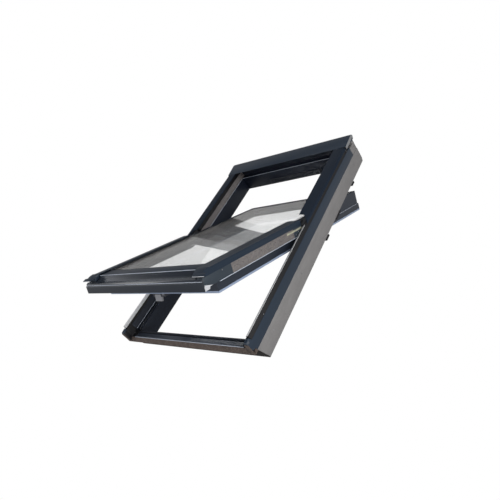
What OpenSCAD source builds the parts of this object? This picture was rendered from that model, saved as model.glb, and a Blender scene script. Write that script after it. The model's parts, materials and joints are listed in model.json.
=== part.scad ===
// Centre-pivot roof window with its frame. X is the width, Y runs up the slope, Z points out of the roof.
// The back of the frame lies on Z = 0 and the sash is drawn open by open_angle.

/* [Window] */
// Width across the frame walls
window_width = 780; // [540:10:1140]
// Height of the frame up the slope
window_height = 1176; // [900:4:1600]
// How far the sash is drawn open
open_angle = 27.47; // [0:0.01:45]
// Height of the pivot axis above mid-height
pivot_above_mid = 20; // [10:1:40]

/* [Frame] */
// Thickness of the frame walls
wall = 45; // [40:1:60]
// Depth of the frame walls from the back to the rebate ledge
frame_depth = 79; // [65:1:95]
// Thickness of the dark inner lining
lining = 4; // [2:0.5:6]
// Width of the upstand along each side
upstand = 16; // [12:1:22]
// Wall thickness of the side cladding
cladding_skin = 2; // [1:0.5:3]
// Width of the upper side covers
cover_width = 63; // [55:1:70]
// How far the bottom outer face leans back
sill_slant = 25; // [0:1:40]
// Space between adjoining cover ends
cover_joint = 3; // [1:0.5:6]

/* [Sash] */
// Width of the sash rails
sash_rail = 41; // [34:1:55]
// Running gap between sash rail and lining
sash_gap = 4; // [2:0.5:7]
// Depth of the sash rail below its outer face
sash_depth = 99; // [80:1:110]
// Running gap between the wide lower half and the upstand
wide_gap = 5; // [3:0.5:8]
// How far the front cover stands over the frame bottom
front_overhang = 34; // [26:1:45]
// Thickness of each glass pane
pane = 4; // [3:0.5:6]
// Space between the panes
pane_space = 20; // [12:1:20]

/* [Hinge and fittings] */
// Radius of the pivot pins
pin_radius = 6; // [4:0.5:8]
// Radial clearance around the pins
pin_clearance = 0.05; // [0.02:0.01:0.1]
// Radius kept free of wide parts around the pivot
pivot_clear = 42; // [40:1:60]
// Handle width
handle_width = 52; // [40:2:80]
// Clear space on each side of the sliding latch
latch_clearance = 0.2; // [0.1:0.05:0.4]
// Travel of the latch and of its striker slot
latch_travel = 6; // [4:0.5:6]
// Radius of the fixing holes in the clips
fixing_hole = 2.6; // [2:0.1:4]

/* [Hidden] */
$fn = 48;
hw = window_width / 2;
hh = window_height / 2;
// x positions, right-hand side
inner_x = hw - wall;
lining_x = inner_x + lining;
up_out = hw - cladding_skin;
up_in = up_out - upstand;
sash_x = inner_x - sash_gap;
wide_x = up_in - wide_gap;
cover_x = wide_x + 1;
rail_x = sash_x - sash_rail;
rebate_x = sash_x - 10;
glass_x = rebate_x - 0.5;
cover_in = hw - cover_width;
sash_cover_in = rail_x + 13;
// y positions
bot_in = -hh + 44;
top_in = hh - wall;
sash_bot = bot_in + 6;
sash_top_y = top_in - 23;
flange_top = top_in - 14;
front_y = -hh - front_overhang;
lid_y = -hh + 14;
rail_bot = sash_bot + 38;
rail_top = sash_top_y - 42;
py = pivot_above_mid;
wide_end = py - pivot_clear;
plate_end = front_y + 151;
hood_lo = hh - 85;
// z positions
ledge = frame_depth;
up_top = ledge + 35;
clad_flat = up_top + 8.5;
clad_top = up_top + 17;
film = 1.2;
handle_x = -22;
latch_x = handle_x + handle_width / 2 + 16;
film_x = up_in - film;
film_z = ledge + film;
pz = ledge + 53;
sash_hi = pz + 9;
sash_lo = sash_hi - sash_depth;
rail_lo = sash_lo + 8;
rebate_z = sash_hi - pane_space - 2 * pane - 0.5;
glass_z = sash_hi + 0.5;
wide_lo = ledge + 10;
cover_lo = wide_lo + 37;
sill_lip = ledge + 13;
over_lo = sill_lip + 3;
sill_x = inner_x - 7;
lip_z = ledge - 6;

// ---- helpers ----
// an (x, z) outline drawn out along Y
module run_y(y0, y1, pts) {
  translate([0, y1, 0]) rotate([90, 0, 0]) linear_extrude(y1 - y0) polygon(pts);
}
// a (y, z) outline drawn out along X
module run_x(x0, x1, pts) {
  translate([x0, 0, 0]) rotate([90, 0, 90]) linear_extrude(x1 - x0) polygon(pts);
}
module box(x0, x1, y0, y1, z0, z1) {
  translate([x0, y0, z0]) cube([x1 - x0, y1 - y0, z1 - z0]);
}
// the right-hand shape for s = 1, its mirror image for s = -1
module side(s) {
  mirror([s < 0 ? 1 : 0, 0, 0]) children();
}
module both() {
  side(1) children();
  side(-1) children();
}
// turns a shape drawn on the closed sash into the open sash
module sashed() {
  translate([0, py, pz]) rotate([-open_angle, 0, 0]) translate([0, -py, -pz]) children();
}
// outer face of the frame bottom at height z
function sill_y(z) = -hh + sill_slant * (1 - z / sill_lip);
function seal_z(y) = film_z + (sill_lip - 10 - film_z) * (bot_in - y) / (bot_in + hh - 28);

// ---- frame ----
module frame_side(s) {
  color([0.51, 0.51, 0.52]) side(s) intersection() {
    run_y(-hh - 1, hh, [
      [lining_x, 0], [hw, 0], [hw, ledge - 3], [up_out, ledge - 3],
      [up_out, up_top], [up_in, up_top], [up_in, ledge], [lining_x, ledge]
    ]);
    run_x(0, hw + 1, [
      [sill_y(0) + 3, 0], [hh - 7, 0], [hh, 15], [hh, ledge], [hh - 18, ledge], [hh - 18, up_top],
      [sill_y(sill_lip) + 3, up_top], [sill_y(sill_lip) + 3, sill_lip]
    ]);
  }
}
module frame_side_left() { frame_side(-1); }
module frame_side_right() { frame_side(1); }

module frame_top() {
  color([0.51, 0.51, 0.52]) {
    run_x(-lining_x, lining_x, [
      [top_in + lining, 0], [hh - 7, 0], [hh, 15], [hh, ledge], [top_in + lining, ledge]
    ]);
    box(-up_out, up_out, hh - 18, hh, ledge, up_top + 11);
  }
}

module frame_bottom() {
  color([0.51, 0.51, 0.52]) run_x(-lining_x, lining_x, [
    [sill_y(0) + 3, 0], [bot_in - lining, 0], [bot_in - lining, ledge], [sill_y(ledge) + 3, ledge]
  ]);
}

module lining_side(s) {
  color([0.14, 0.16, 0.2]) side(s) {
    box(inner_x, lining_x, bot_in - lining, top_in, 0, ledge);
    run_y(bot_in - lining, hh - 18 - film, [
      [inner_x, ledge], [up_in, ledge], [up_in, clad_flat], [film_x, clad_flat],
      [film_x, film_z], [inner_x, film_z]
    ]);
  }
}
module lining_left() { lining_side(-1); }
module lining_right() { lining_side(1); }
module lining_top() {
  color([0.14, 0.16, 0.2]) {
    box(-lining_x, lining_x, top_in, top_in + lining, 0, ledge);
    run_x(-inner_x, inner_x, [
      [top_in, ledge], [hh - 18, ledge], [hh - 18, up_top + 11], [hh - 18 - film, up_top + 11],
      [hh - 18 - film, film_z], [top_in, film_z]
    ]);
  }
}
module lining_bottom() {
  color([0.14, 0.16, 0.2]) box(-inner_x, inner_x, bot_in - lining, bot_in, 0, ledge);
}

module cladding(s) {
  color([0.26, 0.29, 0.33]) side(s) intersection() {
    run_y(-hh - 14, hh - 55, [
      [up_out, ledge - 3], [hw, ledge - 3], [hw, clad_flat], [hw - 5.5, clad_top + 6],
      [up_in, clad_top + 6], [up_in, up_top], [up_out, up_top]
    ]);
    run_x(0, hw + 1, [
      [sill_y(ledge - 4) + 3, ledge - 4], [hh - 57, ledge - 4], [hh - 61, clad_flat],
      [-hh + 16, clad_flat], [-hh + 12, clad_top + 5], [-hh - 9, clad_top + 3],
      [-hh - 11, clad_top], [-hh - 11, over_lo - 1], [sill_y(sill_lip - 4) + 3, sill_lip - 4]
    ]);
  }
}
module cladding_left() { cladding(-1); }
module cladding_right() { cladding(1); }

// dark rail under the upper cover, and under the light strip of the lower half
module cover_rail(s) {
  color([0.1, 0.11, 0.13]) side(s) {
    run_y(py - 30, hh - 80, [
      [up_in, clad_flat], [hw - 0.8, clad_flat], [hw - 5, clad_top], [hw - 5, clad_top + 6],
      [up_in, clad_top + 6]
    ]);
    run_y(-hh + 16, py - 30, [
      [up_in, clad_flat], [hw - 0.8, clad_flat], [hw - 4.5, clad_top], [hw - 5, clad_top + 12],
      [up_in, clad_top + 5]
    ]);
  }
}
module cover_rail_left() { cover_rail(-1); }
module cover_rail_right() { cover_rail(1); }

module light_strip(s) {
  color([0.74, 0.76, 0.8]) side(s) run_y(-hh + 16, py - 36 - cover_joint, [
    [up_in, clad_top + 5], [hw - 5, clad_top + 12], [hw - 5, clad_top + 14],
    [up_in - 1.5, clad_top + 6.4], [up_in - 1.5, clad_top + 5]
  ]);
}
module light_strip_left() { light_strip(-1); }
module light_strip_right() { light_strip(1); }

// upper cover, its lower end cut on the slant so that the sash can turn past it
module side_cover(s) {
  color([0.15, 0.17, 0.2]) side(s) intersection() {
    run_y(py - 40, hood_lo - cover_joint, [
      [up_in, clad_top + 6], [hw, clad_top + 6], [hw - 8, clad_top + 14],
      [cover_in, clad_top + 18], [cover_in, clad_top + 14], [cover_in + 2, clad_top + 14],
      [cover_in + 2, clad_top + 16], [inner_x + 3, clad_top + 14.6],
      [inner_x + 3, clad_top + 12], [up_in, clad_top + 12]
    ]);
    linear_extrude(clad_top + 30) polygon([
      [hw + 1, py - 30], [inner_x + 6, py + 27], [cover_in - 1, py + 27], [cover_in - 1, hh], [hw + 1, hh]
    ]);
  }
}
module side_cover_left() { side_cover(-1); }
module side_cover_right() { side_cover(1); }

module infill_frame(s) {
  color([0.45, 0.41, 0.39]) side(s)
    box(inner_x + 1, film_x, py + 52, hh - 18 - film, film_z, up_top - 1);
}
module infill_frame_left() { infill_frame(-1); }
module infill_frame_right() { infill_frame(1); }

module cover_carriers() {
  color([0.08, 0.09, 0.1]) both()
    run_y(py + 52, hh - 18 - film, [
      [inner_x + 3, up_top - 1], [film_x, up_top - 1], [film_x, clad_flat], [up_in, clad_flat],
      [up_in, clad_top + 12], [inner_x + 3, clad_top + 12]
    ]);
}

module top_hood() {
  color([0.17, 0.19, 0.23]) run_x(-up_out, up_out, [
    [hood_lo, clad_top + 13.6], [hood_lo, clad_top + 16.2], [hh - 5, clad_top + 23],
    [hh + 9, clad_top + 18], [hh + 12, clad_top + 14], [hh + 12, up_top + 11],
    [hh - 17.5, up_top + 11], [hh - 17.5, clad_top + 12], [hh - 43, clad_top + 13.6]
  ]);
}

module hood_ends() {
  color([0.78, 0.79, 0.8]) both() run_x(up_out, hw + 0.5, [
    [hood_lo + 1, clad_top], [hh + 12, clad_top + 5], [hh + 12, clad_top + 15],
    [hh - 4, clad_top + 20.5], [hood_lo + 1, clad_top + 13]
  ]);
}

module sill_profile() {
  color([0.2, 0.23, 0.28]) run_x(-sill_x, sill_x, [
    [sill_y(sill_lip), sill_lip], [-hh + 8, sill_lip], [-hh + 10, sill_lip - 4],
    [-hh + 26, sill_lip - 6], [-hh + 28, sill_lip - 10], [bot_in, film_z], [bot_in, ledge],
    [sill_y(ledge) + 3, ledge], [sill_y(sill_lip - 4) + 3, sill_lip - 4],
    [sill_y(sill_lip - 4), sill_lip - 4]
  ]);
}

module sill_face() {
  color([0.41, 0.36, 0.34]) {
    run_x(-hw, hw, [
      [-hh - 13, lip_z], [-hh - 13, lip_z - 1.5], [sill_y(lip_z - 1.5) + 3, lip_z - 1.5],
      [sill_y(sill_lip - 4) + 3, sill_lip - 4], [sill_y(sill_lip - 4), sill_lip - 4]
    ]);
    // ends turned up over the cladding
    both() box(up_in, hw, -hh - 13, -hh - 11, lip_z, clad_flat + 4);
  }
}

module sill_edge() {
  color([0.05, 0.05, 0.06]) run_x(-hw, hw, [
    [sill_y(0), 0], [sill_y(0) + 3, 0], [sill_y(lip_z - 1.5) + 3, lip_z - 1.5],
    [sill_y(lip_z - 1.5), lip_z - 1.5]
  ]);
}

module rebate_seals() {
  color([0.03, 0.03, 0.03]) {
    both() run_y(bot_in + 6, wide_end - 8, [
      [lining_x + 4, film_z], [up_in - 5, film_z], [up_in - 8, ledge + 6.5], [lining_x + 7, ledge + 6.5]
    ]);
    run_x(-sill_x + 1, sill_x - 1, [
      [-hh + 29, seal_z(-hh + 29)], [-hh + 38, seal_z(-hh + 38)], [-hh + 36, ledge + 9], [-hh + 31, ledge + 9]
    ]);
  }
}

module corner_blocks() {
  color([0.04, 0.04, 0.04]) both() {
    box(sill_x, lining_x, sill_y(ledge) + 3, bot_in - lining, ledge, ledge + 8);
    box(lining_x, film_x, sill_y(ledge) + 3, bot_in - lining, ledge, ledge + 8);
    box(sill_x, inner_x, bot_in - lining, bot_in, ledge, ledge + 8);
    box(film_x - 2.3, film_x, sill_y(film_z) + 3, -hh + 44, film_z, clad_top);
    translate([film_x - 2.3, -hh + 22, clad_top - 1]) rotate([0, 90, 0]) cylinder(r = 5, h = 2.3);
  }
}

// frame half of the hinge, with its pin
module hinge_plate(s) {
  color([0.55, 0.5, 0.36]) side(s) {
    difference() {
      box(inner_x + 7, film_x, py - 34, py + 44, film_z, pz + 6);
      translate([inner_x + 6, py + 28, ledge + 22]) rotate([0, 90, 0]) cylinder(r = 4, h = 8);
      translate([inner_x + 6, py - 20, ledge + 22]) rotate([0, 90, 0]) cylinder(r = 4, h = 8);
    }
    translate([inner_x, py, pz]) rotate([0, 90, 0]) cylinder(r = pin_radius, h = 10);
  }
}
module hinge_plate_left() { hinge_plate(-1); }
module hinge_plate_right() { hinge_plate(1); }

module vent_grille() {
  color([0.2, 0.22, 0.25]) difference() {
    box(-168, 176, top_in - 4, top_in, 7, 34);
    for (i = [0:21]) box(-156 + i * 13, -148 + i * 13, top_in - 5, top_in - 1, 12, 29);
    box(142, 172, top_in - 5, top_in - 1, 14, 21);
  }
}

module vent_slider() {
  color([0.35, 0.37, 0.4]) {
    translate([167, top_in - 4.3, 17.5]) rotate([90, 0, 0]) cylinder(r = 5, h = 5);
    box(163, 171, top_in - 4.4, top_in - 1.5, 14.5, 20.5);
  }
}

module striker_plate() {
  color([0.6, 0.6, 0.62]) difference() {
    box(latch_x - 16, latch_x + 16, bot_in, bot_in + 1.5, sash_lo - 16, sash_lo + 4);
    box(latch_x - 8, latch_x + 8, bot_in - 1, bot_in + 2, sash_lo - 11, sash_lo - 1);
  }
}

module fixing_clips() {
  color([0.06, 0.06, 0.07]) both() difference() {
    union() {
      for (c = [[-hh + 640, 33], [-hh + 783, 55], [-hh + 1000, 27]])
        box(hw - 14, hw + 3, c[0] - c[1] / 2, c[0] + c[1] / 2, -8, 0);
    }
    for (y = [-hh + 640, -hh + 1000])
      translate([hw - 6, y, -9]) cylinder(r = fixing_hole, h = 10);
  }
}

module frame_screws() {
  color([0.6, 0.6, 0.62]) both() {
    for (y = [-hh - 3, -hh + 124, hh - 94])
      translate([hw, y, up_top + 3]) rotate([0, 90, 0]) cylinder(r = 2, h = 0.8);
    for (y = [-hh + 112.7, -hh + 391, hh - 94])
      translate([hw, y, ledge - 33]) rotate([0, 90, 0]) cylinder(r = 1.8, h = 0.6);
  }
}

// ---- sash, drawn closed and turned by sashed() ----
module sash_ring() {
  difference() {
    union() {
      box(-sash_x, sash_x, sash_bot, sash_top_y, rail_lo, sash_hi);
      box(-sash_x, sash_x, sash_top_y - 1, flange_top, rail_lo, ledge - 2);
    }
    // splayed reveal below the glass
    intersection() {
      run_y(-hh, hh, [
        [-rail_x - 5, rail_lo - 1], [rail_x + 5, rail_lo - 1], [rail_x, rebate_z - 8],
        [rail_x, rebate_z + 2], [-rail_x, rebate_z + 2], [-rail_x, rebate_z - 8]
      ]);
      run_x(-hw, hw, [
        [rail_bot - 5, rail_lo - 1], [rail_top + 5, rail_lo - 1], [rail_top, rebate_z - 8],
        [rail_top, rebate_z + 2], [rail_bot, rebate_z + 2], [rail_bot, rebate_z - 8]
      ]);
    }
    // glass rebate
    box(-rebate_x, rebate_x, sash_bot + 7, sash_top_y - 17, rebate_z, sash_hi + 1);
  }
}
module sash_zone(pts) {
  translate([0, 0, rail_lo - 2]) linear_extrude(sash_depth + 4) polygon(pts);
}
module sash_side(s) {
  color([0.2, 0.23, 0.28]) sashed() side(s) intersection() {
    sash_ring();
    sash_zone([
      [0, (rail_bot + rail_top) / 2], [rail_x, rail_bot], [sash_x, sash_bot], [sash_x + 1, sash_bot],
      [sash_x + 1, flange_top + 1], [sash_x, flange_top], [rail_x, rail_top]
    ]);
  }
}
module sash_side_left() { sash_side(-1); }
module sash_side_right() { sash_side(1); }

module sash_top() {
  color([0.2, 0.23, 0.28]) sashed() intersection() {
    sash_ring();
    sash_zone([
      [0, (rail_bot + rail_top) / 2], [rail_x, rail_top], [sash_x, flange_top],
      [sash_x, flange_top + 1], [-sash_x, flange_top + 1], [-sash_x, flange_top], [-rail_x, rail_top]
    ]);
  }
}

module sash_bottom() {
  color([0.2, 0.23, 0.28]) sashed() {
    intersection() {
      sash_ring();
      sash_zone([
        [0, (rail_bot + rail_top) / 2], [rail_x, rail_bot], [sash_x, sash_bot],
        [sash_x, sash_bot - 1], [-sash_x, sash_bot - 1], [-sash_x, sash_bot], [-rail_x, rail_bot]
      ]);
    }
    run_x(-sash_x, sash_x, [
      [sash_bot, over_lo], [sash_bot, sash_hi], [-hh + 14, sash_hi - 3],
      [front_y + 10, over_lo + 23], [front_y + 10, over_lo]
    ]);
  }
}

module inner_pane() {
  color([0.75, 0.85, 0.88, 0.35]) sashed()
    box(-glass_x, glass_x, sash_bot + 7.5, sash_top_y - 17.5, rebate_z, rebate_z + pane);
}
module outer_pane() {
  color([0.75, 0.85, 0.88, 0.35]) sashed()
    box(-glass_x, glass_x, sash_bot + 7.5, sash_top_y - 17.5, glass_z - pane, glass_z);
}
module spacer() {
  color([0.3, 0.31, 0.33]) sashed() difference() {
    box(-glass_x + 1, glass_x - 1, sash_bot + 8.5, sash_top_y - 18.5, rebate_z + pane, glass_z - pane);
    box(-glass_x + 13, glass_x - 13, sash_bot + 20.5, sash_top_y - 30.5, rebate_z, glass_z);
  }
}

// black gasket on the edge of the outer pane
module glazing_seal() {
  color([0.04, 0.04, 0.05]) sashed() {
    difference() {
      box(-sash_cover_in - 9, sash_cover_in + 9, sash_bot + 8, wide_end, glass_z, sash_hi + 7.5);
      box(-sash_cover_in, sash_cover_in, sash_bot + 21, wide_end + 1, glass_z - 1, sash_hi + 9);
      box(-hw, hw, sash_bot - 5, sash_bot + 21, sash_hi + 2.5, sash_hi + 9);
    }
    both() box(sash_cover_in + 5, sash_cover_in + 9, wide_end, sash_top_y - 18, glass_z, glass_z + 0.9);
    box(-sash_cover_in - 5, sash_cover_in + 5, sash_top_y - 23, sash_top_y - 18, glass_z, glass_z + 0.9);
  }
}

module sash_cover(s) {
  color([0.25, 0.29, 0.34]) sashed() side(s) {
    intersection() {
      run_y(lid_y, wide_end, [
        [sash_x, cover_lo], [cover_x, cover_lo], [cover_x, sash_hi + 5.5], [cover_x - 2.5, sash_hi + 7.8],
        [sash_cover_in, sash_hi + 10.2], [sash_cover_in, sash_hi + 8], [sash_x - 5, sash_hi + 7],
        [sash_x - 5, sash_hi], [sash_x, sash_hi]
      ]);
      run_x(0, hw, [
        [wide_end, cover_lo - 1], [wide_end, sash_hi + 3], [wide_end - 18, sash_hi + 12],
        [lid_y, sash_hi + 12], [lid_y, cover_lo - 1]
      ]);
    }
    // lid curving down to the flared front lip, and the blocks that carry it
    intersection() {
      run_x(rail_x, hw, [
        [lid_y, sash_hi + 10.2], [lid_y - 18, sash_hi + 6.5], [lid_y - 32, sash_hi + 0.5],
        [front_y + 3, sash_hi - 4.8], [front_y + 3, sash_hi - 7.4], [lid_y - 32, sash_hi - 2.5],
        [lid_y - 26, sash_hi], [lid_y, sash_hi + 3]
      ]);
      linear_extrude(sash_hi + 20) polygon([
        [sash_cover_in, lid_y], [cover_x, lid_y], [cover_x, -hh - 15], [cover_x + 16, -hh - 18],
        [cover_x + 17, front_y], [sash_cover_in + 13, front_y], [sash_cover_in, lid_y - 3]
      ]);
    }
    run_x(sash_cover_in + 2, sash_x, [
      [lid_y, sash_hi - 3], [lid_y, sash_hi + 3], [lid_y - 26, sash_hi],
      [lid_y - 26, sash_hi - 3 - 20 * 26 / (lid_y - front_y - 10)]
    ]);
    run_x(sash_x, cover_x, [
      [lid_y, cover_lo], [lid_y, sash_hi + 3], [lid_y - 26, sash_hi], [lid_y - 26, cover_lo]
    ]);
  }
}
module sash_cover_left() { sash_cover(-1); }
module sash_cover_right() { sash_cover(1); }

module upper_beads() {
  color([0.12, 0.14, 0.17]) sashed() {
    both() box(rebate_x + 1, sash_x, py + 40, sash_top_y, sash_hi, sash_hi + 1.4);
    box(-rebate_x - 1, rebate_x + 1, sash_top_y - 16, sash_top_y, sash_hi, sash_hi + 1.4);
  }
}

module front_ledge() {
  color([0.3, 0.33, 0.39]) sashed() run_x(-sash_cover_in + 9, sash_cover_in - 9, [
    [sash_bot + 6.5, sash_hi], [sash_bot + 6.5, sash_hi + 2.6], [sash_bot + 20.5, sash_hi + 2.6],
    [sash_bot + 20.5, sash_hi + 4], [lid_y, sash_hi + 4], [-hh + 11, sash_hi + 2.6],
    [lid_y, sash_hi - 3], [sash_bot, sash_hi]
  ]);
}

// hollowed front cover
module front_dish() {
  color([0.22, 0.25, 0.3]) sashed() difference() {
    run_x(-cover_x, cover_x, [
      [-hh + 14, sash_hi - 3], [-hh + 11, sash_hi + 2.6], [front_y + 40, sash_hi - 3],
      [front_y + 31, sash_hi - 10.5], [front_y + 21, sash_hi - 15], [front_y + 13, sash_hi - 17],
      [front_y + 5, sash_hi - 18.4], [front_y + 3, sash_hi - 26.4], [front_y + 3, over_lo],
      [front_y + 10, over_lo], [front_y + 10, over_lo + 23]
    ]);
    // room for the side plates and the ends of the side covers
    both() box(sash_cover_in - 9, hw, lid_y - 27, 0, over_lo - 1, sash_hi + 6);
    both() box(sash_x, hw, front_y + 8, 0, over_lo - 1, sash_hi + 6);
  }
}

module apron() {
  color([0.19, 0.22, 0.27]) sashed() run_x(-up_in + 1, up_in - 1, [
    [front_y + 3, over_lo - 14.4], [front_y + 3, sash_hi - 26.4], [front_y, sash_hi - 30.4],
    [front_y, over_lo - 14.4]
  ]);
}

module infill_sash(s) {
  color([0.45, 0.41, 0.39]) sashed() side(s)
    box(sash_x, wide_x, plate_end, wide_end - 62, wide_lo, cover_lo);
}
module infill_sash_left() { infill_sash(-1); }
module infill_sash_right() { infill_sash(1); }

// smooth dark plates in front of and behind the infill
module side_plate(s) {
  color([0.24, 0.27, 0.31]) sashed() side(s) {
    run_x(sash_x, wide_x, [
      [plate_end, wide_lo], [-hh + 12, wide_lo], [front_y + 8, over_lo + 6],
      [front_y + 8, cover_lo], [plate_end, cover_lo]
    ]);
    box(sash_x, wide_x, wide_end - 62, wide_end, wide_lo, cover_lo);
  }
}
module side_plate_left() { side_plate(-1); }
module side_plate_right() { side_plate(1); }

module corner_caps() {
  color([0.9, 0.9, 0.92]) sashed() both()
    run_x(inner_x, wide_x, [
      [front_y + 3, over_lo - 14], [-hh - 6, over_lo - 14], [-hh - 2, wide_lo], [-hh + 12, wide_lo],
      [front_y + 8, over_lo + 6], [front_y + 8, over_lo], [front_y + 3, over_lo]
    ]);
}

module flange_rails() {
  color([0.68, 0.72, 0.8]) sashed() {
    both() box(sash_x - 25, sash_x, sash_bot, flange_top, sash_lo, rail_lo);
    box(-sash_x + 25, sash_x - 25, sash_bot, sash_bot + 22, sash_lo, rail_lo);
    box(-sash_x + 25, sash_x - 25, flange_top - 22, flange_top, sash_lo, rail_lo);
  }
}

module lip_trims() {
  color([0.6, 0.63, 0.7]) sashed() both()
    box(sash_x, wide_x, bot_in + 4, wide_end, wide_lo - 2.5, wide_lo);
}

// sash half of the hinge, bored for the pin
module hinge_arms() {
  color([0.55, 0.5, 0.36]) sashed() both() difference() {
    box(sash_x, sash_x + 9, py - 16, py + 40, pz - 14, pz + 8);
    translate([inner_x - 1, py, pz]) rotate([0, 90, 0])
      cylinder(r = pin_radius + pin_clearance, h = 8);
  }
}

module friction_rails() {
  color([0.5, 0.46, 0.3]) sashed() both() {
    box(wide_x, wide_x + 1.5, wide_end - 108, wide_end - 2, cover_lo - 13, cover_lo - 9);
    for (i = [0:20])
      box(wide_x, wide_x + 1.5, wide_end - 107 + i * 5, wide_end - 104.5 + i * 5, cover_lo - 9, cover_lo - 5);
  }
}

module sash_screws() {
  color([0.6, 0.6, 0.62]) sashed() both() {
    translate([wide_x, plate_end - 48, cover_lo - 4]) rotate([0, 90, 0]) cylinder(r = 2.5, h = 0.8);
    translate([wide_x, wide_end - 30, cover_lo - 20]) rotate([0, 90, 0]) cylinder(r = 3.5, h = 1);
    translate([wide_x, wide_end - 48, cover_lo - 28]) rotate([0, 90, 0]) cylinder(r = 3.5, h = 1);
  }
}

// ---- handle and latch ----
module handle_rose() {
  color([0.45, 0.46, 0.5]) sashed() {
    translate([handle_x, 0, 0]) difference() {
      union() {
        box(-handle_width / 2, handle_width / 2, sash_bot + 4, sash_bot + 24, sash_lo - 4, sash_lo);
        both() box(handle_width / 2 - 5, handle_width / 2, sash_bot + 7, sash_bot + 21, sash_lo - 17, sash_lo - 4);
      }
      translate([-handle_width, sash_bot + 14, sash_lo - 11]) rotate([0, 90, 0])
        cylinder(r = 2.5 + pin_clearance, h = handle_width * 2);
    }
    difference() {
      box(latch_x - 12, latch_x + 12, sash_bot + 5, sash_bot + 40, sash_lo - 14, sash_lo);
      box(latch_x - 6 - latch_clearance, latch_x + 6 + latch_clearance, sash_bot + 4, sash_bot + 39,
        sash_lo - 9 - latch_clearance, sash_lo - 3 + latch_clearance);
    }
  }
}

module handle_lever() {
  color([0.62, 0.61, 0.63]) sashed() translate([handle_x, 0, 0]) {
    translate([-handle_width / 2, sash_bot + 14, sash_lo - 11]) rotate([0, 90, 0])
      cylinder(r = 2.5, h = handle_width);
    translate([-handle_width / 2 + 5.3, sash_bot + 14, sash_lo - 11]) rotate([0, 90, 0])
      cylinder(r = 5, h = handle_width - 10.6);
    run_x(-handle_width / 2 + 5.3, handle_width / 2 - 5.3, [
      [sash_bot + 9.2, sash_lo - 11], [sash_bot + 18.8, sash_lo - 11],
      [sash_bot + 16, sash_lo - 24], [sash_bot + 13, sash_lo - 36], [sash_bot + 7, sash_lo - 35]
    ]);
  }
}

module latch_bolt() {
  color([0.7, 0.7, 0.72]) sashed()
    box(latch_x - 6, latch_x + 6, sash_bot + 4, sash_bot + 32, sash_lo - 9, sash_lo - 3);
}

frame_side_left();
frame_side_right();
frame_top();
frame_bottom();
lining_left();
lining_right();
lining_top();
lining_bottom();
cladding_left();
cladding_right();
cover_rail_left();
cover_rail_right();
side_cover_left();
side_cover_right();
light_strip_left();
light_strip_right();
infill_frame_left();
infill_frame_right();
cover_carriers();
top_hood();
hood_ends();
sill_profile();
sill_face();
sill_edge();
rebate_seals();
corner_blocks();
hinge_plate_left();
hinge_plate_right();
vent_grille();
striker_plate();
fixing_clips();
frame_screws();
vent_slider();
sash_side_left();
sash_side_right();
sash_top();
sash_bottom();
outer_pane();
inner_pane();
spacer();
glazing_seal();
sash_cover_left();
sash_cover_right();
upper_beads();
front_ledge();
front_dish();
apron();
infill_sash_left();
infill_sash_right();
side_plate_left();
side_plate_right();
corner_caps();
flange_rails();
lip_trims();
hinge_arms();
friction_rails();
sash_screws();
handle_rose();
handle_lever();
latch_bolt();
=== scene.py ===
"""Looks of a centre-pivot roof window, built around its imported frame."""

import json
import math

import bpy
from mathutils import Matrix, Vector


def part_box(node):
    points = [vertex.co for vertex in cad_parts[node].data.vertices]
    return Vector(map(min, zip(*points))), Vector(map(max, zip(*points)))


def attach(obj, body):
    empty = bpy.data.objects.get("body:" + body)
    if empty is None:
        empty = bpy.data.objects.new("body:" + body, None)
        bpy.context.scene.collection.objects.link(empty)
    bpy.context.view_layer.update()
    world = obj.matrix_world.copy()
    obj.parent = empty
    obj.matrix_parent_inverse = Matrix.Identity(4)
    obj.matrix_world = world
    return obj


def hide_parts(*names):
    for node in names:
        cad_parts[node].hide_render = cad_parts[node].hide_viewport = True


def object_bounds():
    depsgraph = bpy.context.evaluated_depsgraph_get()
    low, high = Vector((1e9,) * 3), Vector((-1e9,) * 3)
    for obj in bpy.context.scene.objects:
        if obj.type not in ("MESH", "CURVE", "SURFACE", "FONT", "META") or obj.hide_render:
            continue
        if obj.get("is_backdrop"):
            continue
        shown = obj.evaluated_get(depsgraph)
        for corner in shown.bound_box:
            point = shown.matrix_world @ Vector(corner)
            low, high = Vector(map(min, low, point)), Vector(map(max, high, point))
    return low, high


bl_info = {
    "name": "Roof window looks",
    "version": (1, 0, 0),
    "blender": (4, 5, 0),
    "location": "3D View > Sidebar > Roof window",
    "description": "Dresses a centre-pivot roof window and sets up its studio",
    "category": "Object",
}

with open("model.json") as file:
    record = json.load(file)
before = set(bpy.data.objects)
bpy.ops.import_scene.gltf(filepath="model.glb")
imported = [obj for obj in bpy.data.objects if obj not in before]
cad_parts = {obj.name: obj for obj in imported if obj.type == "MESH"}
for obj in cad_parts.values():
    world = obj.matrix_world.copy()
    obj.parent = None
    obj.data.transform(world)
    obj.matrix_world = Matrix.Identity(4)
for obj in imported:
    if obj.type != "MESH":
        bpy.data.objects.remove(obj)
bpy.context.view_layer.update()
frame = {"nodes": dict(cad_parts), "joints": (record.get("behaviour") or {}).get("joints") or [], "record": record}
nodes = frame["nodes"]
body_of_node = {
    node: body
    for body, names in frame["record"]["behaviour"]["bodies"].items()
    for node in names
}
slot_of_node = {
    row["node"]: row["material_slot"] for row in frame["record"]["subparts"]
}
pivot_joint = next(j for j in frame["joints"] if j["name"] == "sash_pivot")
PIVOT = Vector(pivot_joint["pos_m"])
# the closing limit of the pivot is how far the sash stands open at rest
OPEN_ANGLE = -math.radians(pivot_joint["range_deg"][0])
# top of the dark film on the frame's ledge, and the front of the closed sash
LEDGE = 0.0802
FRONT = -0.622
# outer face of the closed sash's wide side, on which its screws sit
WIDE_SIDE = 0.3675
# radii of the small edges: of a painted highlight line or bead, and of a clip or lip
LINE_EDGE = 0.0003
BEAD_EDGE = 0.0006
# what the studio shows: through glass, in a mirror, and seen directly
LEVEL_THROUGH = 0.32
LEVEL_MIRRORED = 1.45
LEVEL_DIRECT = 1.0
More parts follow.
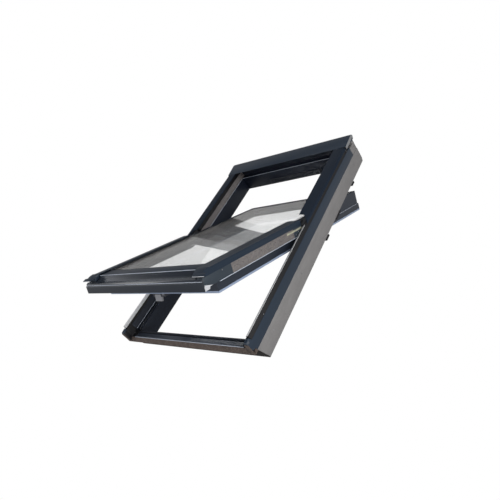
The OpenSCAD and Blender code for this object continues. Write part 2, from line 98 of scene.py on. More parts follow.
# share of the floor's colour that lights the window
FLOOR_SHARE = 0.36
# camera: lens and film width in millimetres, place in metres, and its right and rear axes
LENS = 33.66
FILM = 36.0
CAMERA_PLACE = (1.4960, -1.2287, 1.1680)
CAMERA_RIGHT = (0.7398, 0.4227, -0.5234)
CAMERA_REAR = (0.6694, -0.5411, 0.5090)


# ---------------------------------------------------------------- settings


def colour(name, description, rgb):
    return bpy.props.FloatVectorProperty(
        name=name,
        description=description,
        default=rgb,
        size=3,
        min=0.0,
        max=1.0,
        subtype="COLOR",
    )


def length(name, description, value):
    return bpy.props.FloatProperty(
        name=name,
        description=description,
        default=value,
        min=0.0,
        unit="LENGTH",
        subtype="DISTANCE",
    )


class RoofWindowColours(bpy.types.PropertyGroup):
    """Base colours of the finishes."""

    core: colour("Frame core", "Grey foam-filled frame wall", (0.272, 0.262, 0.258))
    lining: colour("Lining", "Dark film inside the frame", (0.014, 0.019, 0.032))
    cladding: colour("Cladding", "Coated side cladding", (0.022, 0.038, 0.063))
    cover: colour("Upper covers", "Near-black upper covers", (0.015, 0.025, 0.043))
    sash_cover: colour("Sash covers", "Coated sash covers", (0.018, 0.032, 0.054))
    # partly the front cover's own dark blue, partly painted sheen: raised to stand in for the highlight on the
    # hollow
    gloss: colour("Front cover", "Glossy hollowed front cover", (0.034, 0.040, 0.052))
    infill: colour("Infill", "Coarse grey-brown infill", (0.225, 0.208, 0.205))
    strip: colour("Seal strip", "Light grey seal strip", (0.90, 0.90, 0.90))
    flange: colour("Flange", "Light blue-grey sash flange", (0.36, 0.44, 0.60))
    bare: colour("Bare metal", "Bare end plates", (0.62, 0.63, 0.65))
    brass: colour("Hinge metal", "Yellow-passivated hinge parts", (0.62, 0.61, 0.46))
    floor: colour("Floor", "Pale studio floor", (0.93, 0.93, 0.93))


class RoofWindowSizes(bpy.types.PropertyGroup):
    """Sizes of the softened edges and small trims."""

    edge: length("Edge radius", "Rounding of folded and moulded edges", 0.0008)
    cover_edge: length("Cover edge radius", "Rounding of the metal covers", 0.0016)
    # the beads are light strips that paint highlights along edges
    bead: length("Bead width", "Width of the light beads along edges", 0.0016)
    screw: length("Screw radius", "Radius of the visible screw heads", 0.0024)
    floor_drop: length("Floor drop", "Floor below the lowest point", 0.35)


# ---------------------------------------------------------------- modelling helpers


def bare_selection():
    if bpy.context.mode != "OBJECT":
        bpy.ops.object.mode_set(mode="OBJECT")
    bpy.ops.object.select_all(action="DESELECT")


def pick(obj):
    bare_selection()
    bpy.context.view_layer.objects.active = obj
    obj.select_set(True)


def round_edges(obj, width, segments=2, angle=28):
    pick(obj)
    mod = obj.modifiers.new("edge", "BEVEL")
    mod.width = width
    mod.segments = segments
    mod.limit_method = "ANGLE"
    mod.angle_limit = math.radians(angle)
    mod.use_clamp_overlap = True
    mod.harden_normals = False
    bpy.ops.object.modifier_apply(modifier=mod.name)
    bpy.ops.object.shade_smooth_by_angle(angle=math.radians(38))


def settle(obj, name, body, material, closed=False):
    """Puts the piece's place in its mesh, hangs it on its body and gives it its finish."""
    if closed:
        turn = (
            Matrix.Translation(PIVOT)
            @ Matrix.Rotation(-OPEN_ANGLE, 4, "X")
            @ Matrix.Translation(-PIVOT)
        )
        obj.matrix_world = turn @ obj.matrix_world
    pick(obj)
    bpy.ops.object.transform_apply(location=True, rotation=True, scale=True)
    obj.name = name
    obj.data.name = name
    obj.data.materials.clear()
    obj.data.materials.append(material)
    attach(obj, body)
    return obj


def bar(low, high, width=0.0004, segments=2):
    """A block between two corners, its edges rounded."""
    bare_selection()
    low, high = Vector(low), Vector(high)
    bpy.ops.mesh.primitive_cube_add(
        size=1, location=(low + high) / 2, scale=tuple(high - low)
    )
    obj = bpy.context.active_object
    bpy.ops.object.transform_apply(location=True, rotation=True, scale=True)
    round_edges(obj, width, segments)
    return obj


def soften(node, width, material, segments=2):
    """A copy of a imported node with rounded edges, standing in for it."""
    source = nodes[node]
    bare_selection()
    obj = bpy.data.objects.new(node + ".soft", source.data.copy())
    bpy.context.scene.collection.objects.link(obj)
    pick(obj)
    bpy.ops.object.mode_set(mode="EDIT")
    bpy.ops.mesh.select_all(action="SELECT")
    bpy.ops.mesh.remove_doubles(threshold=0.00001)
    bpy.ops.mesh.dissolve_limited(angle_limit=math.radians(0.5))
    bpy.ops.object.mode_set(mode="OBJECT")
    round_edges(obj, width, segments)
    settle(obj, node + ".soft", body_of_node[node], material)
    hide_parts(node)
    return obj


def dress(node, material):
    """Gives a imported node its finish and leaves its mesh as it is."""
    data = nodes[node].data
    if not data.materials:
        data.materials.append(material)
    for i in range(len(data.materials)):
        data.materials[i] = material
    for holder in nodes[node].material_slots:
        holder.material = material


def sides(stem):
    return (stem + "_left", stem + "_right")


def copy_of(obj, offset, mirror=False):
    """Another piece of the same shape with its own mesh, moved or mirrored across the middle."""
    twin = obj.copy()
    twin.data = obj.data.copy()
    bpy.context.scene.collection.objects.link(twin)
    if mirror:
        twin.matrix_world = Matrix.Scale(-1, 4, (1, 0, 0)) @ twin.matrix_world
    twin.matrix_world = Matrix.Translation(offset) @ twin.matrix_world
    pick(twin)
    bpy.ops.object.transform_apply(location=True, rotation=True, scale=True)
    if mirror:
        bpy.ops.object.mode_set(mode="EDIT")
        bpy.ops.mesh.select_all(action="SELECT")
        bpy.ops.mesh.normals_make_consistent(inside=False)
        bpy.ops.object.mode_set(mode="OBJECT")
    return twin


def mirrored_pair(make, stem, body, material, closed=False):
    """A right-hand piece and its mirror image on the left."""
    right = make()
    left = copy_of(right, (0, 0, 0), mirror=True)
    settle(right, stem + "_right", body, material, closed)
    settle(left, stem + "_left", body, material, closed)
    return left, right


# ---------------------------------------------------------------- shader groups


def new_group(name, inputs, outputs):
    group = bpy.data.node_groups.new(name, "ShaderNodeTree")
    for label, kind, default in inputs:
        sock = group.interface.new_socket(name=label, in_out="INPUT", socket_type=kind)
        sock.default_value = default
    for label, kind in outputs:
        group.interface.new_socket(name=label, in_out="OUTPUT", socket_type=kind)
    return group, group.nodes.new("NodeGroupInput"), group.nodes.new("NodeGroupOutput")


def grain_group():
    """Fine height grain of powder coats and moulded plastic."""
    group, gin, gout = new_group(
        "powder_grain",
        [("Scale", "NodeSocketFloat", 900.0), ("Coarse", "NodeSocketFloat", 0.3)],
        [("Height", "NodeSocketFloat")],
    )
    links = group.links
    where = group.nodes.new("ShaderNodeTexCoord")
    fine = group.nodes.new("ShaderNodeTexNoise")
    fine.inputs["Detail"].default_value = 3.0
    cells = group.nodes.new("ShaderNodeTexVoronoi")
    third = group.nodes.new("ShaderNodeMath")
    third.operation = "MULTIPLY"
    third.inputs[1].default_value = 0.45
    blend = group.nodes.new("ShaderNodeMix")
    links.new(where.outputs["Object"], fine.inputs["Vector"])
    links.new(where.outputs["Object"], cells.inputs["Vector"])
    links.new(gin.outputs["Scale"], fine.inputs["Scale"])
    links.new(gin.outputs["Scale"], third.inputs[0])
    links.new(third.outputs[0], cells.inputs["Scale"])
    links.new(gin.outputs["Coarse"], blend.inputs["Factor"])
    links.new(fine.outputs["Fac"], blend.inputs["A"])
    links.new(cells.outputs["Distance"], blend.inputs["B"])
    links.new(blend.outputs["Result"], gout.inputs["Height"])
    return group


def cloud_group():
    """Slow handling and weather clouding, 0 to 1."""
    group, gin, gout = new_group(
        "handling_clouds",
        [("Scale", "NodeSocketFloat", 9.0), ("Contrast", "NodeSocketFloat", 1.0)],
        [("Mask", "NodeSocketFloat")],
    )
    links = group.links
    where = group.nodes.new("ShaderNodeTexCoord")
    stretch = group.nodes.new("ShaderNodeMapping")
    stretch.inputs["Scale"].default_value = (1.0, 0.35, 1.4)
    noise = group.nodes.new("ShaderNodeTexNoise")
    noise.inputs["Detail"].default_value = 4.0
    noise.inputs["Roughness"].default_value = 0.55
    centre = group.nodes.new("ShaderNodeMath")
    centre.operation = "SUBTRACT"
    centre.inputs[1].default_value = 0.5
    gain = group.nodes.new("ShaderNodeMath")
    gain.operation = "MULTIPLY_ADD"
    gain.inputs[2].default_value = 0.5
    gain.use_clamp = True
    links.new(where.outputs["Object"], stretch.inputs["Vector"])
    links.new(stretch.outputs["Vector"], noise.inputs["Vector"])
    links.new(gin.outputs["Scale"], noise.inputs["Scale"])
    links.new(noise.outputs["Fac"], centre.inputs[0])
    links.new(centre.outputs[0], gain.inputs[0])
    links.new(gin.outputs["Contrast"], gain.inputs[1])
    links.new(gain.outputs[0], gout.inputs["Mask"])
    return group


def fleck_group():
    """Scattered flecks or coarse grains, 1 inside a fleck, with a random value for each."""
    group, gin, gout = new_group(
        "mineral_flecks",
        [
            ("Scale", "NodeSocketFloat", 300.0),
            ("Amount", "NodeSocketFloat", 0.3),
            ("Size", "NodeSocketFloat", 0.35),
        ],
        [("Mask", "NodeSocketFloat"), ("Each", "NodeSocketFloat")],
    )
    links = group.links
    where = group.nodes.new("ShaderNodeTexCoord")
    cells = group.nodes.new("ShaderNodeTexVoronoi")
    split = group.nodes.new("ShaderNodeSeparateColor")
    chosen = group.nodes.new("ShaderNodeMath")
    chosen.operation = "LESS_THAN"
    inside = group.nodes.new("ShaderNodeMath")
    inside.operation = "LESS_THAN"
    both = group.nodes.new("ShaderNodeMath")
    both.operation = "MULTIPLY"
    links.new(where.outputs["Object"], cells.inputs["Vector"])
    links.new(gin.outputs["Scale"], cells.inputs["Scale"])
    links.new(cells.outputs["Color"], split.inputs[0])
    links.new(split.outputs[0], chosen.inputs[0])
    links.new(gin.outputs["Amount"], chosen.inputs[1])
    links.new(cells.outputs["Distance"], inside.inputs[0])
    links.new(gin.outputs["Size"], inside.inputs[1])
    links.new(chosen.outputs[0], both.inputs[0])
    links.new(inside.outputs[0], both.inputs[1])
    links.new(both.outputs[0], gout.inputs["Mask"])
    links.new(split.outputs[1], gout.inputs["Each"])
    return group


def lines_group():
    """Drawn or brushed lines along the slope."""
    group, gin, gout = new_group(
        "drawn_lines",
        [("Scale", "NodeSocketFloat", 400.0)],
        [("Mask", "NodeSocketFloat")],
    )
    links = group.links
    where = group.nodes.new("ShaderNodeTexCoord")
    stretch = group.nodes.new("ShaderNodeMapping")
    stretch.inputs["Scale"].default_value = (1.0, 0.02, 1.0)
    noise = group.nodes.new("ShaderNodeTexNoise")
    noise.inputs["Detail"].default_value = 2.0
    links.new(where.outputs["Object"], stretch.inputs["Vector"])
    links.new(stretch.outputs["Vector"], noise.inputs["Vector"])
    links.new(gin.outputs["Scale"], noise.inputs["Scale"])
    links.new(noise.outputs["Fac"], gout.inputs["Mask"])
    return group


GROUPS = {}


def place_group(tree, key, **values):
    made = tree.nodes.new("ShaderNodeGroup")
    made.node_tree = GROUPS[key]
    for label, value in values.items():
        made.inputs[label].default_value = value
    return made


def shade(rgb, gain):
    return tuple(min(1.0, c * gain) for c in rgb) + (1.0,)


def finish(
    name,
    rgb,
    rough=0.5,
    spread=0.08,
    metallic=0.0,
    coat=0.0,
    specular=0.5,
    grain=900.0,
    coarse=0.3,
    relief=0.00004,
    clouds=9.0,
    contrast=0.8,
    dark=0.82,
    light=1.18,
    flecks=None,
    drawn=0.0,
):
    """A satin, matt or glossy surface with clouding, grain and, if asked, flecks or drawn lines.

    flecks is (scale, amount, size, colour a, colour b, relief).
    """
    mat = bpy.data.materials.new(name)
    mat.use_nodes = True
    tree = mat.node_tree
    links = tree.links
    shader = tree.nodes["Principled BSDF"]
    shader.inputs["Metallic"].default_value = metallic
    shader.inputs["Coat Weight"].default_value = coat
    shader.inputs["Coat Roughness"].default_value = 0.12
    shader.inputs["Specular IOR Level"].default_value = specular

    cloud = place_group(tree, "clouds", Scale=clouds, Contrast=contrast)
    tone = tree.nodes.new("ShaderNodeMix")
    tone.data_type = "RGBA"
    tone.inputs[6].default_value = shade(rgb, dark)
    tone.inputs[7].default_value = shade(rgb, light)
    links.new(cloud.outputs["Mask"], tone.inputs[0])
    paint = tone.outputs[2]

    height = place_group(tree, "grain", Scale=grain, Coarse=coarse).outputs["Height"]
    if drawn:
        lines = place_group(tree, "lines", Scale=drawn)
        streak = tree.nodes.new("ShaderNodeMix")
        streak.data_type = "RGBA"
        streak.blend_type = "OVERLAY"
        streak.inputs[0].default_value = 0.35
        links.new(paint, streak.inputs[6])
        links.new(lines.outputs["Mask"], streak.inputs[7])
        paint = streak.outputs[2]
        height = lines.outputs["Mask"]
    bump = tree.nodes.new("ShaderNodeBump")
    bump.inputs["Distance"].default_value = relief
    bump.inputs["Strength"].default_value = 0.6
    links.new(height, bump.inputs["Height"])
    normal = bump.outputs["Normal"]

    if flecks:
        scale, amount, size, first, second, rise = flecks
        spots = place_group(tree, "flecks", Scale=scale, Amount=amount, Size=size)
        pair = tree.nodes.new("ShaderNodeMix")
        pair.data_type = "RGBA"
        pair.inputs[6].default_value = first + (1.0,)
        pair.inputs[7].default_value = second + (1.0,)
        links.new(spots.outputs["Each"], pair.inputs[0])
        over = tree.nodes.new("ShaderNodeMix")
        over.data_type = "RGBA"
        links.new(spots.outputs["Mask"], over.inputs[0])
        links.new(paint, over.inputs[6])
        links.new(pair.outputs[2], over.inputs[7])
        paint = over.outputs[2]
        if rise:
            pebble = tree.nodes.new("ShaderNodeBump")
            pebble.inputs["Distance"].default_value = rise
            links.new(spots.outputs["Mask"], pebble.inputs["Height"])
            links.new(normal, pebble.inputs["Normal"])
            normal = pebble.outputs["Normal"]

    gloss = tree.nodes.new("ShaderNodeMapRange")
    gloss.inputs["To Min"].default_value = max(0.02, rough - spread)
    gloss.inputs["To Max"].default_value = min(1.0, rough + spread)
    links.new(cloud.outputs["Mask"], gloss.inputs["Value"])
    links.new(gloss.outputs["Result"], shader.inputs["Roughness"])
    links.new(paint, shader.inputs["Base Color"])
    links.new(normal, shader.inputs["Normal"])
    return mat


def float_glass(name, tint, ior, clear=1.0):
    """Clear float glass, its tint clouded a little."""
    mat = bpy.data.materials.new(name)
    mat.use_nodes = True
    tree = mat.node_tree
    shader = tree.nodes["Principled BSDF"]
    shader.inputs["Metallic"].default_value = 0.0
    shader.inputs["Transmission Weight"].default_value = clear
    shader.inputs["IOR"].default_value = ior
    cloud = place_group(tree, "clouds", Scale=5.0, Contrast=0.7)
    tone = tree.nodes.new("ShaderNodeMix")
    tone.data_type = "RGBA"
    tone.inputs[6].default_value = tint + (1.0,)
    tone.inputs[7].default_value = shade(tint, 1.02)
    tree.links.new(cloud.outputs["Mask"], tone.inputs[0])
    tree.links.new(tone.outputs[2], shader.inputs["Base Color"])
    shader.inputs["Roughness"].default_value = 0.0
    return mat


FINISH = {}


def make_finishes(tints):
    GROUPS["grain"] = grain_group()
    GROUPS["clouds"] = cloud_group()
    GROUPS["flecks"] = fleck_group()
    GROUPS["lines"] = lines_group()
    c = {key: tuple(getattr(tints, key)) for key in tints.__annotations__}
    FINISH.update(
        frame_core=finish(
            "frame_core", c["core"], 0.72, 0.06, grain=420.0, coarse=0.6, relief=0.00012,
            clouds=28.0, contrast=1.5, dark=0.88, light=1.1,
            flecks=(330.0, 0.035, 0.26, (0.13, 0.115, 0.11), (0.5, 0.49, 0.48), 0.00005),
        ),
        lining=finish("lining", c["lining"], 0.42, specular=0.3, clouds=6.0, relief=0.00002),
        cladding=finish("cladding", c["cladding"], 0.4, 0.06, coat=0.08, relief=0.00003),
        cover_dark=finish("cover_dark", c["cover"], 0.5, 0.06, specular=0.2, relief=0.00003),
        strip_light=finish(
            "strip_light", c["strip"], 0.45, clouds=14.0, relief=0.00003,
            flecks=(520.0, 0.6, 0.34, (0.5, 0.5, 0.52), (0.8, 0.8, 0.8), 0.0002),
        ),
        infill=finish(
            "infill", c["infill"], 0.9, 0.05, grain=300.0, coarse=0.8, relief=0.0006,
            clouds=60.0, contrast=0.9, dark=0.7, light=1.25,
            flecks=(330.0, 0.6, 0.42, (0.03, 0.02, 0.018), (0.42, 0.37, 0.32), 0.0006),
        ),
        sill_brown=finish(
            "sill_brown", (0.13, 0.098, 0.084), 0.85, 0.05, grain=340.0, coarse=0.7,
            relief=0.0004, clouds=50.0, contrast=2.0, dark=0.6, light=1.25,
            flecks=(420.0, 0.35, 0.4, (0.06, 0.045, 0.04), (0.3, 0.25, 0.21), 0.0003),
        ),
        black_plastic=finish("black_plastic", (0.009, 0.009, 0.011), 0.5, relief=0.00004),
        seal=finish("seal", (0.009, 0.012, 0.020), 0.55, grain=600.0, relief=0.00006),
        # painted shade: near-black colour for the sill's slanted underside, where the shadow under the lip falls
        sill_under=finish("sill_under", (0.016, 0.013, 0.012), 0.8, relief=0.0001, contrast=1.6),
        bare_end=finish(
            "bare_end", c["bare"], 0.3, 0.08, metallic=1.0, drawn=500.0, relief=0.00002
        ),
        sill_film=finish("sill_film", (0.05, 0.062, 0.088), 0.34, coat=0.2, relief=0.00002),
        hinge_dark=finish(
            "hinge_dark", (0.03, 0.031, 0.035), 0.4, 0.1, clouds=60.0, contrast=1.8, dark=0.6,
            light=1.3, relief=0.00004,
        ),
        hinge_metal=finish(
            "hinge_metal", c["brass"], 0.42, 0.12, metallic=0.3, clouds=60.0, contrast=2.2,
            dark=0.5, light=1.3, relief=0.00004,
        ),
        vent=finish("vent", (0.03, 0.035, 0.045), 0.45, relief=0.00005),
        vent_knob=finish("vent_knob", (0.08, 0.09, 0.11), 0.38, relief=0.00004),
        zinc=finish(
            "zinc", (0.36, 0.36, 0.38), 0.36, 0.1, metallic=1.0, clouds=80.0, contrast=2.0,
            relief=0.00002,
        ),
        sash_rail=finish("sash_rail", (0.026, 0.034, 0.05), 0.38, clouds=7.0, relief=0.00002),
        sash_cover=finish(
            "sash_cover", c["sash_cover"], 0.42, 0.06, specular=0.35, relief=0.00003
        ),
        # the front cover's colour is partly painted sheen, standing in for the highlight on the hollow
        front_gloss=finish(
            "front_gloss", c["gloss"], 0.2, 0.04, coat=0.6, relief=0.00001
        ),
        apron=finish("apron", (0.02, 0.026, 0.037), 0.42, relief=0.00003),
        side_plate=finish("side_plate", (0.040, 0.055, 0.072), 0.4, relief=0.00004),
        cap_white=finish("cap_white", (0.8, 0.81, 0.84), 0.35, clouds=30.0, dark=0.93, light=1.04),
        flange_light=finish(
            "flange_light", c["flange"], 0.3, coat=0.2, clouds=8.0, dark=0.9, light=1.1,
            relief=0.00002,
        ),
        # painted highlight: the light colour of the beads laid along edges where highlights fall
        trim_light=finish("trim_light", (0.66, 0.72, 0.82), 0.3, clouds=20.0, relief=0.00002),
        handle_grey=finish("handle_grey", (0.36, 0.36, 0.38), 0.36, clouds=40.0),
        handle_dark=finish("handle_dark", (0.05, 0.053, 0.062), 0.4, clouds=40.0),
        spacer=finish(
            "spacer", (0.06, 0.05, 0.045), 0.9, specular=0.0, clouds=30.0, relief=0.00003
        ),
        glass_outer=float_glass("glass_outer", (0.985, 0.985, 0.98), 1.018, 0.9),
        glass_inner=float_glass("glass_inner", (0.90, 0.92, 0.93), 2.35),
    )


def finish_of(node):
    return FINISH[slot_of_node[node]]


# ---------------------------------------------------------------- operators


class WINDOW_OT_finishes(bpy.types.Operator):
    """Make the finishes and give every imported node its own"""

    bl_idname = "roofwindow.finishes"
    bl_label = "Finishes"

    def execute(self, context):
        make_finishes(context.scene.roof_window_colours)
        for node in nodes:
            dress(node, finish_of(node))
        return {"FINISHED"}


class WINDOW_OT_frame_walls(bpy.types.Operator):
    """Round the edges of the frame walls, their linings and the sill"""

    bl_idname = "roofwindow.frame_walls"
    bl_label = "Frame walls"

    def execute(self, context):
        edge = context.scene.roof_window_sizes.edge
        for stem in ("frame_side", "lining", "light_strip", "infill_frame", "cover_rail"):
            for node in sides(stem):
                soften(node, edge, finish_of(node))
        for node in (
            "frame_top", "frame_bottom", "lining_top", "lining_bottom",
            "sill_profile", "sill_edge", "cover_carriers",
        ):
            soften(node, edge, finish_of(node))
        return {"FINISHED"}


class WINDOW_OT_cladding(bpy.types.Operator):
    """Round the folds of the cladding, the upper covers and the hood"""

    bl_idname = "roofwindow.cladding"
    bl_label = "Cladding and hood"

    def execute(self, context):
        fold = context.scene.roof_window_sizes.cover_edge
        for node in sides("cladding") + sides("side_cover") + ("top_hood",):
            soften(node, fold, finish_of(node), 3)
        soften("hood_ends", 0.0004, finish_of("hood_ends"))
        return {"FINISHED"}


class WINDOW_OT_sash_frame(bpy.types.Operator):
    """Round the edges of the sash rails, flange, gasket and side plates"""

    bl_idname = "roofwindow.sash_frame"
    bl_label = "Sash rails"

    def execute(self, context):
        edge = context.scene.roof_window_sizes.edge
        for stem in ("sash_side", "side_plate", "infill_sash"):
            for node in sides(stem):
                soften(node, edge, finish_of(node))
        for node in (
            "sash_top", "sash_bottom", "flange_rails", "lip_trims", "corner_caps",
            "upper_beads", "glazing_seal", "hinge_arms", "friction_rails",
        ):
            soften(node, min(edge, 0.0005), finish_of(node))
        return {"FINISHED"}


class WINDOW_OT_sash_covers(bpy.types.Operator):
    """Round the sash covers and smooth the hollowed front cover"""

    bl_idname = "roofwindow.sash_covers"
    bl_label = "Sash covers"

    def execute(self, context):
        fold = context.scene.roof_window_sizes.cover_edge
        for node in sides("sash_cover") + ("front_ledge", "apron"):
            soften(node, fold, finish_of(node), 3)
        soften("front_dish", 0.0012, finish_of("front_dish"), 2)
        return {"FINISHED"}


class WINDOW_OT_highlight_beads(bpy.types.Operator):
    """Lay the thin light beads, painted highlights, along the frame's inner ridges, rebates and sill and along the
    sash sides, and the black end blocks
    """

    bl_idname = "roofwindow.light_beads"
    bl_label = "Light beads"

    def execute(self, context):
        w = context.scene.roof_window_sizes.bead
        # trim_light paints highlights: thin light beads laid along the ridges, rebates and sash sides where light
        # glances off the edges
        highlight_finish = FINISH["trim_light"]
        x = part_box("lining_right")[0][0]
        y_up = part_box("lining_top")[0][1]
        y_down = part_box("lining_bottom")[1][1]
        y_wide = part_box("infill_frame_right")[0][1]
        mirrored_pair(
            lambda: bar((x - 0.0006, y_wide, LEDGE - w / 2), (x + w, y_up, LEDGE + w / 2), w / 4),
            "inner_ridge", "frame", highlight_finish,
        )
        piece = bar(
            (-x + 0.001, y_up - 0.0006, LEDGE - w / 2),
            (x - 0.001, y_up + w, LEDGE + w / 2), w / 4,
        )
        settle(piece, "inner_ridge_top", "frame", highlight_finish)
        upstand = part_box("corner_blocks")[1][0]
        y_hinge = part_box("hinge_plate_right")[0][1]
        mirrored_pair(
            lambda: bar(
                (upstand - 0.0008, y_down + 0.006, LEDGE + 0.0080),
                (upstand + 0.0002, y_hinge - 0.002, LEDGE + 0.0096), LINE_EDGE,
            ),
            "rebate_line", "frame", highlight_finish,
        )
        mirrored_pair(
            lambda: bar((0.3406, y_wide, 0.0755), (0.3418, 0.515, 0.0769), LINE_EDGE),
            "rail_line", "sash", highlight_finish, True,
        )
        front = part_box("sill_face")[0][1]
        mirrored_pair(
            lambda: bar(
                (upstand - 0.0022, front + 0.0002, LEDGE + 0.0003),
                (upstand + 0.0010, front + 0.0210, LEDGE + 0.0468), 0.0005,
            ),
            "end_block", "frame", FINISH["black_plastic"],
        )
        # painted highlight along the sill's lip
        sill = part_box("sill_profile")
        piece = bar(
            (sill[0][0] + 0.001, sill[0][1] - 0.0003, sill[1][2] - 0.0014),
            (sill[1][0] - 0.001, sill[0][1] + 0.0022, sill[1][2] + 0.0004), 0.0004,
        )
        settle(piece, "sill_lip", "frame", highlight_finish)
        return {"FINISHED"}


class WINDOW_OT_front_highlights(bpy.types.Operator):
    """Lay the painted highlight beads along the sash front's ledge, step and lips"""

    bl_idname = "roofwindow.front_trim"
    bl_label = "Front trim"

    def execute(self, context):
        highlight_finish = FINISH["trim_light"]
        # painted highlights: light beads along the edges of the front ledge and of the dish's step
        piece = bar((-0.306, -0.5785, 0.1432), (0.306, -0.5757, 0.1454), BEAD_EDGE)
        settle(piece, "ledge_bead", "sash", highlight_finish, True)
        piece = bar((-0.366, FRONT + 0.0028, 0.1137), (0.366, FRONT + 0.0052, 0.1159), BEAD_EDGE)
        settle(piece, "step_bead", "sash", highlight_finish, True)
        # painted highlight: a bead along the top edge of each lip, in the cap's white
        mirrored_pair(
            lambda: bar(
                (0.327, FRONT + 0.0022, 0.1331), (0.3842, FRONT + 0.0042, 0.1351), BEAD_EDGE
            ),
            "lip_bead", "sash", FINISH["cap_white"], True,
        )
        return {"FINISHED"}


class WINDOW_OT_screws(bpy.types.Operator):
    """Set socket screws along the cladding and the sash sides"""

    bl_idname = "roofwindow.screws"
    bl_label = "Screws"

    def execute(self, context):
        radius = context.scene.roof_window_sizes.screw
        bare_selection()
        bpy.ops.mesh.primitive_cylinder_add(vertices=24, radius=radius, depth=0.0014)
        head = context.active_object
        bpy.ops.object.mode_set(mode="EDIT")
        bpy.ops.mesh.select_mode(type="FACE")
        bpy.ops.mesh.select_all(action="DESELECT")
        bpy.ops.object.mode_set(mode="OBJECT")
        for face in head.data.polygons:
            face.select = face.normal.z > 0.9
        bpy.ops.object.mode_set(mode="EDIT")
        bpy.ops.mesh.inset(thickness=radius * 0.22)
        bpy.ops.transform.translate(value=(0, 0, 0.0005))
        bpy.ops.mesh.inset(thickness=radius * 0.34)
        bpy.ops.mesh.extrude_region_move(TRANSFORM_OT_translate={"value": (0, 0, -0.0009)})
        bpy.ops.object.mode_set(mode="OBJECT")
        bpy.ops.object.shade_smooth_by_angle(angle=math.radians(35))
        head.matrix_world = Matrix.Rotation(math.radians(90), 4, "Y")
        pick(head)
        bpy.ops.object.transform_apply(location=True, rotation=True, scale=True)
        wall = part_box("cladding_right")[1][0]
        spots = [(wall - 0.0022, y, 0.1272) for y in (-0.589, -0.464, 0.4935)]
        spots += [(wall + 0.0003, y, 0.046) for y in (-0.4753, -0.197, 0.494)]
        for i, spot in enumerate(spots):
            for name, flip in (("right", False), ("left", True)):
                piece = copy_of(head, spot)
                if flip:
                    mirror_piece = copy_of(piece, (0, 0, 0), mirror=True)
                    bpy.data.objects.remove(piece)
                    piece = mirror_piece
                settle(piece, f"wall_screw_{i}_{name}", "frame", FINISH["zinc"])
        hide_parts("frame_screws")
        for i, (y, z) in enumerate(((-0.519, 0.120), (-0.052, 0.106), (-0.07, 0.098))):
            for name, flip in (("right", False), ("left", True)):
                piece = copy_of(head, (WIDE_SIDE, y, z))
                if flip:
                    mirror_piece = copy_of(piece, (0, 0, 0), mirror=True)
                    bpy.data.objects.remove(piece)
                    piece = mirror_piece
                settle(piece, f"sash_screw_{i}_{name}", "sash", FINISH["zinc"], True)
        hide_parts("sash_screws")
        bpy.data.objects.remove(head)
        return {"FINISHED"}


class WINDOW_OT_fittings(bpy.types.Operator):
    """Round the hinge plates, vent, clips, striker, handle and latch"""

    bl_idname = "roofwindow.fittings"
    bl_label = "Fittings"

    def execute(self, context):
        for node, width in (
            ("vent_grille", 0.0005), ("vent_slider", 0.0008), ("fixing_clips", 0.0012),
            ("corner_blocks", 0.001), ("striker_plate", 0.0004), ("handle_rose", 0.0014),
            ("handle_lever", 0.0018), ("latch_bolt", 0.0008),
        ):
            soften(node, width, finish_of(node), 3)
        for node in sides("hinge_plate"):
            soften(node, 0.0006, finish_of(node))
        return {"FINISHED"}


def backdrop_level(tree):
    """White seen directly, bright in mirrors, soft through glass; the first mix's A is the rest."""
    links = tree.links
    path = tree.nodes.new("ShaderNodeLightPath")
    mirrored = tree.nodes.new("ShaderNodeMath")
    mirrored.operation = "MINIMUM"
    links.new(path.outputs["Is Singular Ray"], mirrored.inputs[0])
    links.new(path.outputs["Glossy Depth"], mirrored.inputs[1])
    mixes = []
    for source, value in (
        (path.outputs["Is Transmission Ray"], LEVEL_THROUGH),
        (mirrored.outputs[0], LEVEL_MIRRORED),
        (path.outputs["Is Camera Ray"], LEVEL_DIRECT),
    ):
        mix = tree.nodes.new("ShaderNodeMix")
        mix.data_type = "RGBA"
        mix.inputs[7].default_value = (value, value, value, 1.0)
        links.new(source, mix.inputs[0])
        if mixes:
            links.new(mixes[-1].outputs[2], mix.inputs[6])
        mixes.append(mix)
    return mixes[0], mixes[-1]


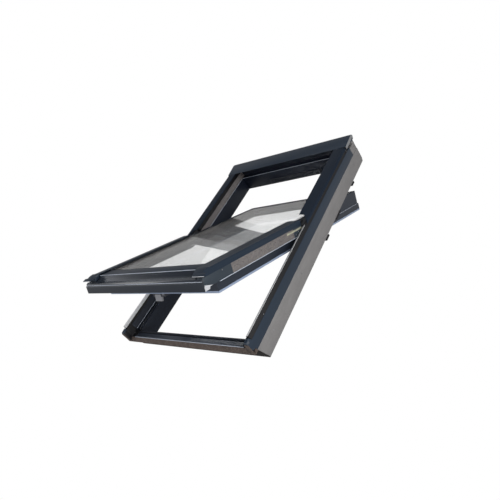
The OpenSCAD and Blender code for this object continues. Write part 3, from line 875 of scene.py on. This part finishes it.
class WINDOW_OT_stage(bpy.types.Operator):
    """Set the pale floor, the soft lights, the world and the camera"""

    bl_idname = "roofwindow.stage"
    bl_label = "Studio"

    def execute(self, context):
        scene = context.scene
        tint = tuple(scene.roof_window_colours.floor)
        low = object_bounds()[0]
        bare_selection()
        bpy.ops.mesh.primitive_plane_add(
            size=60, location=(0, 0, low[2] - scene.roof_window_sizes.floor_drop)
        )
        floor = context.active_object
        floor.name = "studio_floor"
        mat = bpy.data.materials.new("studio_floor")
        mat.use_nodes = True
        tree = mat.node_tree
        tree.nodes.remove(tree.nodes["Principled BSDF"])
        glow = tree.nodes.new("ShaderNodeEmission")
        rest, level = backdrop_level(tree)
        rest.inputs[6].default_value = tuple(FLOOR_SHARE * v for v in tint) + (1.0,)
        tree.links.new(level.outputs[2], glow.inputs["Color"])
        tree.links.new(glow.outputs[0], tree.nodes["Material Output"].inputs["Surface"])
        floor.data.materials.append(mat)
        floor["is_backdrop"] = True

        world = bpy.data.worlds.new("studio")
        scene.world = world
        world.use_nodes = True
        tree = world.node_tree
        back = tree.nodes["Background"]
        rest, level = backdrop_level(tree)
        where = tree.nodes.new("ShaderNodeTexCoord")
        split = tree.nodes.new("ShaderNodeSeparateXYZ")
        rise = tree.nodes.new("ShaderNodeMapRange")
        rise.inputs["From Min"].default_value = 0.25
        rise.inputs["From Max"].default_value = 0.75
        sky = tree.nodes.new("ShaderNodeMix")
        sky.data_type = "RGBA"
        sky.inputs[6].default_value = (0.34, 0.35, 0.37, 1)
        sky.inputs[7].default_value = (0.07, 0.075, 0.085, 1)
        tree.links.new(where.outputs["Generated"], split.inputs[0])
        tree.links.new(split.outputs["Z"], rise.inputs["Value"])
        tree.links.new(rise.outputs["Result"], sky.inputs[0])
        tree.links.new(sky.outputs[2], rest.inputs[6])
        tree.links.new(level.outputs[2], back.inputs["Color"])
        back.inputs["Strength"].default_value = 1.0

        for name, place, size, power in (
            ("key", (3.2, -0.6, 1.3), 2.2, 58),
            ("front", (0.6, -3.4, 1.6), 2.2, 22),
            ("above", (-0.6, 1.8, 3.4), 2.4, 8),
            ("fill", (-2.6, -1.4, 2.2), 2.0, 26),
        ):
            data = bpy.data.lights.new(name, "AREA")
            data.shape = "SQUARE"
            data.size = size
            data.energy = power
            lamp = bpy.data.objects.new(name, data)
            lamp.location = place
            aim = Vector((0, 0, 0.1)) - Vector(place)
            lamp.rotation_euler = aim.to_track_quat("-Z", "Y").to_euler()
            scene.collection.objects.link(lamp)

        data = bpy.data.cameras.new("camera")
        data.sensor_width = FILM
        data.lens = LENS
        data.clip_end = 100.0
        camera = bpy.data.objects.new("camera", data)
        right = Vector(CAMERA_RIGHT).normalized()
        rear = Vector(CAMERA_REAR).normalized()
        up = rear.cross(right).normalized()
        right = up.cross(rear)
        turn = Matrix((right, up, rear)).transposed().to_4x4()
        camera.matrix_world = Matrix.Translation(CAMERA_PLACE) @ turn
        scene.collection.objects.link(camera)
        scene.camera = camera
        scene.view_settings.view_transform = "Standard"
        scene.view_settings.look = "None"
        return {"FINISHED"}


class WINDOW_PT_panel(bpy.types.Panel):
    """Lists the roof window's settings and steps"""

    bl_label = "Roof window"
    bl_idname = "WINDOW_PT_panel"
    bl_space_type = "VIEW_3D"
    bl_region_type = "UI"
    bl_category = "Roof window"

    def draw(self, context):
        layout = self.layout
        for group in (context.scene.roof_window_colours, context.scene.roof_window_sizes):
            box = layout.box()
            for key in group.__annotations__:
                box.prop(group, key)
        for step in STEPS:
            layout.operator(step.bl_idname)


STEPS = (
    WINDOW_OT_finishes,
    WINDOW_OT_frame_walls,
    WINDOW_OT_cladding,
    WINDOW_OT_sash_frame,
    WINDOW_OT_sash_covers,
    WINDOW_OT_highlight_beads,
    WINDOW_OT_front_highlights,
    WINDOW_OT_screws,
    WINDOW_OT_fittings,
    WINDOW_OT_stage,
)
CLASSES = (RoofWindowColours, RoofWindowSizes) + STEPS + (WINDOW_PT_panel,)


def register():
    for cls in CLASSES:
        bpy.utils.register_class(cls)
    scene = bpy.types.Scene
    scene.roof_window_colours = bpy.props.PointerProperty(type=RoofWindowColours)
    scene.roof_window_sizes = bpy.props.PointerProperty(type=RoofWindowSizes)


def unregister():
    del bpy.types.Scene.roof_window_sizes
    del bpy.types.Scene.roof_window_colours
    for cls in reversed(CLASSES):
        bpy.utils.unregister_class(cls)


def main():
    register()
    bpy.ops.roofwindow.finishes()
    bpy.ops.roofwindow.frame_walls()
    bpy.ops.roofwindow.cladding()
    bpy.ops.roofwindow.sash_frame()
    bpy.ops.roofwindow.sash_covers()
    bpy.ops.roofwindow.light_beads()
    bpy.ops.roofwindow.front_trim()
    bpy.ops.roofwindow.screws()
    bpy.ops.roofwindow.fittings()
    bpy.ops.roofwindow.stage()


if __name__ == "__main__":
    main()
